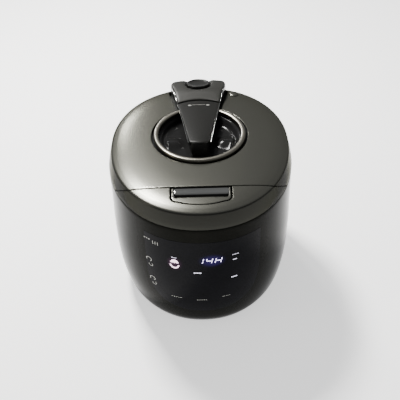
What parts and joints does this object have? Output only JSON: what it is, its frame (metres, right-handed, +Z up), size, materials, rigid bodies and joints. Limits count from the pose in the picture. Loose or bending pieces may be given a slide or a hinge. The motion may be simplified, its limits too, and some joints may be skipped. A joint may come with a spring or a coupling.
{
  "type": "electric pressure cooker",
  "caption": "Oval countertop pressure cooker with induction-heated pot, hinged lid, turning lid handle, front touch panel and push-button latch.",
  "frame": {"origin": "centre of the bounding box's underside, on the surface the feet stand on", "axes": "+Z up, front panel towards -Y, +X to the right seen from the front"},
  "size_m": [0.264, 0.324, 0.2479],
  "materials": {
    "lid_grey": "satin metallic grey lacquer",
    "body_black": "glossy black",
    "dark_plastic": "moulded matte black",
    "handle_grey": "satin dark grey",
    "ring_silver": "brushed champagne silver",
    "chrome_trim": "mirror chrome",
    "steel": "plain steel",
    "pot_metal": "coated cast pot",
    "aluminium": "bare sheet",
    "rubber": "matte rubber",
    "silicone": "translucent pale silicone",
    "copper": "lacquered copper litz wire",
    "ferrite": "sintered ferrite",
    "board": "green circuit board",
    "carrier": "pale heat-resistant resin"
  },
  "bodies": {
    "root": {"front_fascia": "lid_grey", "outer_body": "body_black", "control_panel": "body_black", "base_cover": "dark_plastic", "top_collar": "dark_plastic", "button_bezel": "dark_plastic", "fan_frame": "dark_plastic", "display_module": "dark_plastic", "power_inlet": "dark_plastic", "hinge_pin": "steel", "hinge_bracket_left": "steel", "hinge_bracket_right": "steel", "hinge_spring": "steel", "button_spring": "steel", "sensor_spring": "steel", "hook_pin": "steel", "inner_pot": "pot_metal", "cavity_liner": "aluminium", "heat_sink": "aluminium", "foot_front_left": "rubber", "foot_front_right": "rubber", "foot_rear_left": "rubber", "foot_rear_right": "rubber", "induction_coil": "copper", "ferrite_bar_1": "ferrite", "ferrite_bar_2": "ferrite", "ferrite_bar_3": "ferrite", "ferrite_bar_4": "ferrite", "ferrite_bar_5": "ferrite", "ferrite_bar_6": "ferrite", "power_board": "board", "control_board": "board", "coil_carrier": "carrier"},
    "lid": {"lid_cover": "lid_grey", "cap_well": "handle_grey", "lid_bowl": "body_black", "lid_ring": "ring_silver", "lid_inner_plate": "dark_plastic", "inner_cover": "steel", "gasket": "silicone", "vent_pipe": "steel", "hinge_cover": "body_black", "exhaust_cap": "lid_grey", "lid_catch": "steel"},
    "handle": {"lid_handle": "handle_grey", "handle_trim_left": "chrome_trim", "handle_trim_right": "chrome_trim", "handle_shaft": "steel", "lock_ring": "steel"},
    "steam_cap_body": {"steam_cap": "handle_grey", "steam_cap_disc": "handle_grey"},
    "weight": {"pressure_weight": "steel"},
    "button": {"lid_button": "chrome_trim"},
    "hook": {"latch_hook": "steel"},
    "dew_cup": {"dew_collector": "dark_plastic"},
    "fan": {"fan_rotor": "dark_plastic"},
    "sensor": {"temperature_sensor": "aluminium"}
  },
  "joints": [
    {"name": "lid_hinge", "type": "hinge", "parent": "root", "child": "lid", "pos_m": [0, 0.128, 0.19], "axis": [-1, 0, 0], "range_deg": [0, 80]},
    {"name": "handle_turn", "type": "hinge", "parent": "lid", "child": "handle", "pos_m": [0, 0.009, 0.23], "axis": [0, 0, 1], "range_deg": [0, 30]},
    {"name": "steam_cap_lift", "type": "slide", "parent": "lid", "child": "steam_cap_body", "axis": [0, 0, 1], "range_m": [0, 0.04]},
    {"name": "weight_lift", "type": "slide", "parent": "lid", "child": "weight", "axis": [0, 0, 1], "range_m": [0, 0.002]},
    {"name": "button_press", "type": "slide", "parent": "root", "child": "button", "axis": [0, 0, -1], "range_m": [0, 0.0035], "stiffness_N_per_m": 400, "springref_m": -0.003, "deforming": ["button_spring"]},
    {"name": "hook_swing", "type": "hinge", "parent": "root", "child": "hook", "pos_m": [-0.022, -0.113, 0.2068], "axis": [1, 0, 0], "range_deg": [0, 8]},
    {"name": "dew_cup_pull", "type": "slide", "parent": "root", "child": "dew_cup", "axis": [0, 1, 0], "range_m": [0, 0.04]},
    {"name": "fan_spin", "type": "hinge", "parent": "root", "child": "fan", "pos_m": [-0.04, 0.024, 0.021], "axis": [0, 0, 1], "continuous": true},
    {"name": "sensor_press", "type": "slide", "parent": "root", "child": "sensor", "axis": [0, 0, 1], "range_m": [-0.003, 0], "stiffness_N_per_m": 400, "springref_m": 0.004, "deforming": ["sensor_spring"]}
  ],
  "couplings": [
    {"joint": "hook_swing", "follows": "button_press", "rad_per_m": 39.893}
  ]
}
